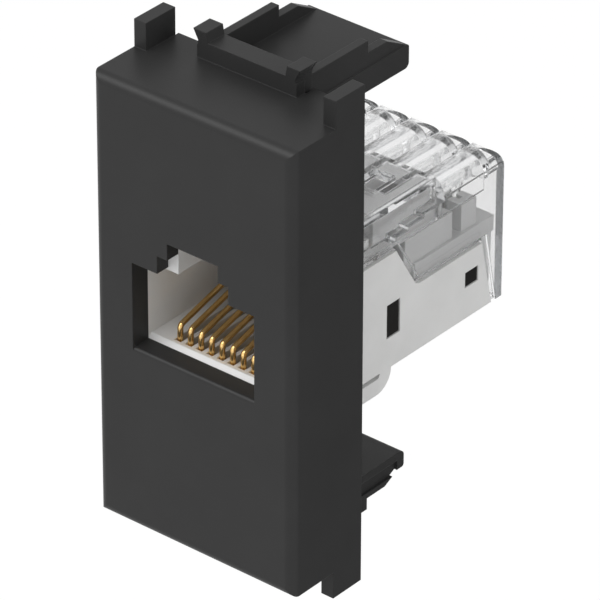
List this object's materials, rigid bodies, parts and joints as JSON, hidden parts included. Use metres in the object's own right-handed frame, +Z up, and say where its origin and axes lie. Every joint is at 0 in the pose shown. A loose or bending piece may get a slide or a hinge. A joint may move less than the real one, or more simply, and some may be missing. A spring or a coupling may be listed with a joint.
{
  "type": "keystone jack",
  "caption": "Keystone network jack latched in a one-module wall insert: black skirted face with frame clips, white housing, gold contact wires and a clear lift-off wire cap.",
  "frame": {"origin": "centre of the insert's front face, on the face's plane", "axes": "+X right seen from the front, +Y back into the wall, +Z up with the plug's latch way above the contacts"},
  "size_m": [0.019, 0.0273, 0.0426],
  "materials": {
    "black_plastic": "satin",
    "white_plastic": "satin",
    "carrier_plastic": "matte",
    "board": "satin",
    "block_plastic": "satin",
    "contact_metal": "polished",
    "blade_metal": "polished",
    "clear_plastic": "polished"
  },
  "bodies": {
    "jack": {"face_plate": "black_plastic", "jack_housing": "white_plastic", "contact_carrier": "carrier_plastic", "circuit_board": "board", "terminal_block": "block_plastic", "contact_wire_1": "contact_metal", "contact_wire_2": "contact_metal", "contact_wire_3": "contact_metal", "contact_wire_4": "contact_metal", "contact_wire_5": "contact_metal", "contact_wire_6": "contact_metal", "contact_wire_7": "contact_metal", "contact_wire_8": "contact_metal", "terminal_blade_1": "blade_metal", "terminal_blade_2": "blade_metal", "terminal_blade_3": "blade_metal", "terminal_blade_4": "blade_metal", "terminal_blade_5": "blade_metal", "terminal_blade_6": "blade_metal", "terminal_blade_7": "blade_metal", "terminal_blade_8": "blade_metal"},
    "cap": {"wire_cap": "clear_plastic"}
  },
  "joints": [
    {"name": "cap_lift", "type": "slide", "parent": "jack", "child": "cap", "axis": [0, 0, 1], "range_m": [0, 0.006]}
  ]
}
